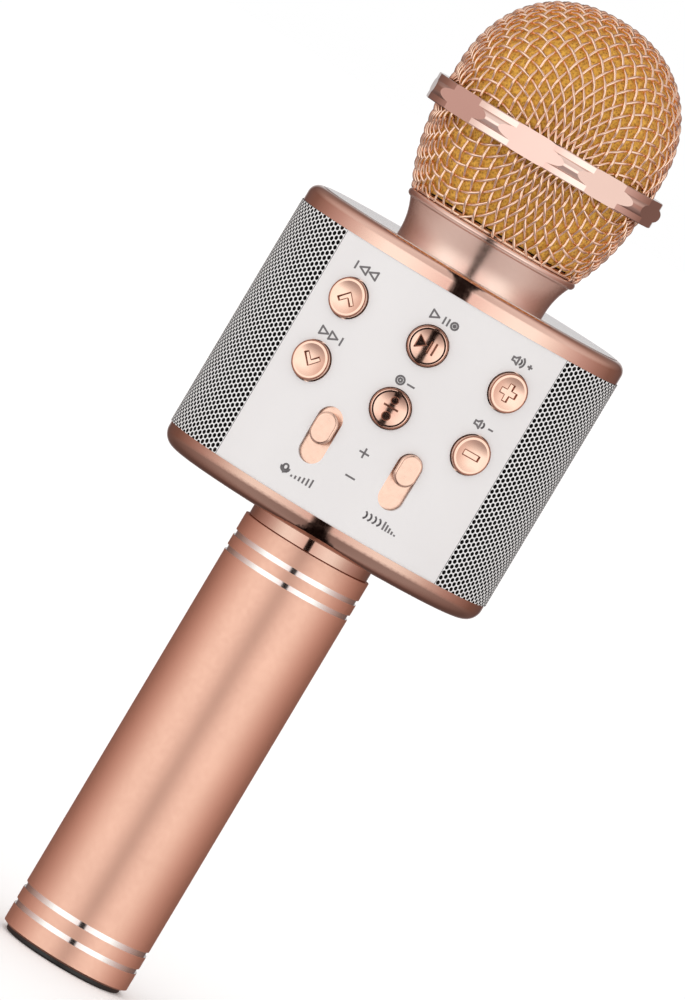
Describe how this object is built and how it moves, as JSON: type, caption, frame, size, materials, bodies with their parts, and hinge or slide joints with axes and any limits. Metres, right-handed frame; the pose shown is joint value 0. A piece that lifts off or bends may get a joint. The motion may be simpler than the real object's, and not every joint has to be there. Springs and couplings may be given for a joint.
{
  "type": "karaoke microphone",
  "caption": "Handheld wireless karaoke microphone with a wire basket head, an elliptical speaker drum with a control panel, and a tubular handle.",
  "frame": {"origin": "centre of the base's underside, on the handle's axis", "axes": "+Z along the handle's axis to the head, -Y out of the control panel, +X to the right of someone facing the panel"},
  "size_m": [0.0816, 0.0692, 0.245],
  "materials": {
    "rose_satin": "satin",
    "rose_mirror": "polished",
    "rose_metal": "polished",
    "rose_wire": "polished",
    "panel_white": "satin",
    "grille_metal": "satin",
    "black_cloth": "matte",
    "golden_foam": "matte",
    "black_plastic": "matte",
    "black_rubber": "matte",
    "cell_wrap": "gloss",
    "steel": "satin",
    "spring_metal": "polished",
    "board_green": "satin",
    "chip_black": "matte",
    "cone_paper": "matte",
    "lead_red": "gloss",
    "grey_plastic": "satin",
    "capsule_metal": "satin"
  },
  "bodies": {
    "housing": {"audio_jack": "black_plastic", "battery_cell": "cell_wrap", "battery_contact": "spring_metal", "battery_cradle": "grey_plastic", "battery_leads": "lead_red", "battery_spring": "spring_metal", "board_chips": "chip_black", "body_frame": "black_plastic", "bottom_rim": "rose_mirror", "capsule_holder": "black_plastic", "capsule_mount": "black_rubber", "card_slot": "spring_metal", "collar": "rose_mirror", "collar_nut": "black_plastic", "coupler_screws": "steel", "end_cap": "black_plastic", "frame_screws": "steel", "front_panel": "panel_white", "grille_cloth_left": "black_cloth", "grille_cloth_right": "black_cloth", "grille_left": "grille_metal", "grille_right": "grille_metal", "handle_coupler": "black_plastic", "handle_tube": "rose_satin", "key_board_centre": "board_green", "main_board": "board_green", "mic_capsule": "capsule_metal", "mic_lead": "black_rubber", "neck_ring": "rose_metal", "port_board": "board_green", "power_switch_body": "chip_black", "rear_panel": "panel_white", "side_key_boards": "board_green", "slider_board": "board_green", "slider_pots": "grey_plastic", "speaker_frame_left": "steel", "speaker_frame_right": "steel", "speaker_leads": "lead_red", "speaker_magnet_left": "steel", "speaker_magnet_right": "steel", "tact_switches": "chip_black", "top_cap": "panel_white", "top_rim": "rose_mirror", "usb_socket": "spring_metal"},
    "head_ring": {"basket_base_ring": "rose_metal"},
    "head": {"lower_basket": "rose_wire", "upper_basket": "rose_wire", "head_band": "rose_mirror", "foam_windscreen": "golden_foam"},
    "power_switch": {"power_switch_knob": "rose_mirror"},
    "mic_volume": {"mic_volume_slider": "rose_mirror"},
    "echo": {"echo_slider": "rose_mirror"},
    "cone_left": {"speaker_cone_left": "cone_paper"},
    "cone_right": {"speaker_cone_right": "cone_paper"},
    "previous_key": {"previous_button": "rose_mirror"},
    "next_key": {"next_button": "rose_mirror"},
    "play_pause_key": {"play_pause_button": "rose_mirror"},
    "record_key": {"record_button": "rose_mirror"},
    "volume_up_key": {"volume_up_button": "rose_mirror"},
    "volume_down_key": {"volume_down_button": "rose_mirror"}
  },
  "joints": [
    {"name": "previous_press", "type": "slide", "parent": "housing", "child": "previous_key", "axis": [0.4374, 0.8993, 0], "range_m": [0, 0.0005], "stiffness_N_per_m": 150},
    {"name": "next_press", "type": "slide", "parent": "housing", "child": "next_key", "axis": [0.4374, 0.8993, 0], "range_m": [0, 0.0005], "stiffness_N_per_m": 150},
    {"name": "play_pause_press", "type": "slide", "parent": "housing", "child": "play_pause_key", "axis": [0, 1, 0], "range_m": [0, 0.0005], "stiffness_N_per_m": 150},
    {"name": "record_press", "type": "slide", "parent": "housing", "child": "record_key", "axis": [0, 1, 0], "range_m": [0, 0.0005], "stiffness_N_per_m": 150},
    {"name": "volume_up_press", "type": "slide", "parent": "housing", "child": "volume_up_key", "axis": [-0.4374, 0.8993, 0], "range_m": [0, 0.0005], "stiffness_N_per_m": 150},
    {"name": "volume_down_press", "type": "slide", "parent": "housing", "child": "volume_down_key", "axis": [-0.4374, 0.8993, 0], "range_m": [0, 0.0005], "stiffness_N_per_m": 150},
    {"name": "mic_volume_slide", "type": "slide", "parent": "housing", "child": "mic_volume", "axis": [0, 0, 1], "range_m": [-0.0047, 0.0013]},
    {"name": "echo_slide", "type": "slide", "parent": "housing", "child": "echo", "axis": [0, 0, 1], "range_m": [-0.006, 0]},
    {"name": "power_slide", "type": "slide", "parent": "housing", "child": "power_switch", "axis": [1, 0, 0], "range_m": [0, 0.0025]},
    {"name": "cone_left_travel", "type": "slide", "parent": "housing", "child": "cone_left", "axis": [-1, 0, 0], "range_m": [-0.0008, 0.0008], "stiffness_N_per_m": 150},
    {"name": "cone_right_travel", "type": "slide", "parent": "housing", "child": "cone_right", "axis": [1, 0, 0], "range_m": [-0.0008, 0.0008], "stiffness_N_per_m": 150},
    {"name": "head_rise", "type": "slide", "parent": "housing", "child": "head_ring", "axis": [0, 0, 1], "range_m": [0, 0.0046]},
    {"name": "head_turn", "type": "hinge", "parent": "head_ring", "child": "head", "pos_m": [0, 0, 0.1893], "axis": [0, 0, 1], "range_deg": [0, 1080]}
  ],
  "couplings": [
    {"joint": "head_rise", "follows": "head_turn", "m_per_rad": 0.00023873}
  ]
}
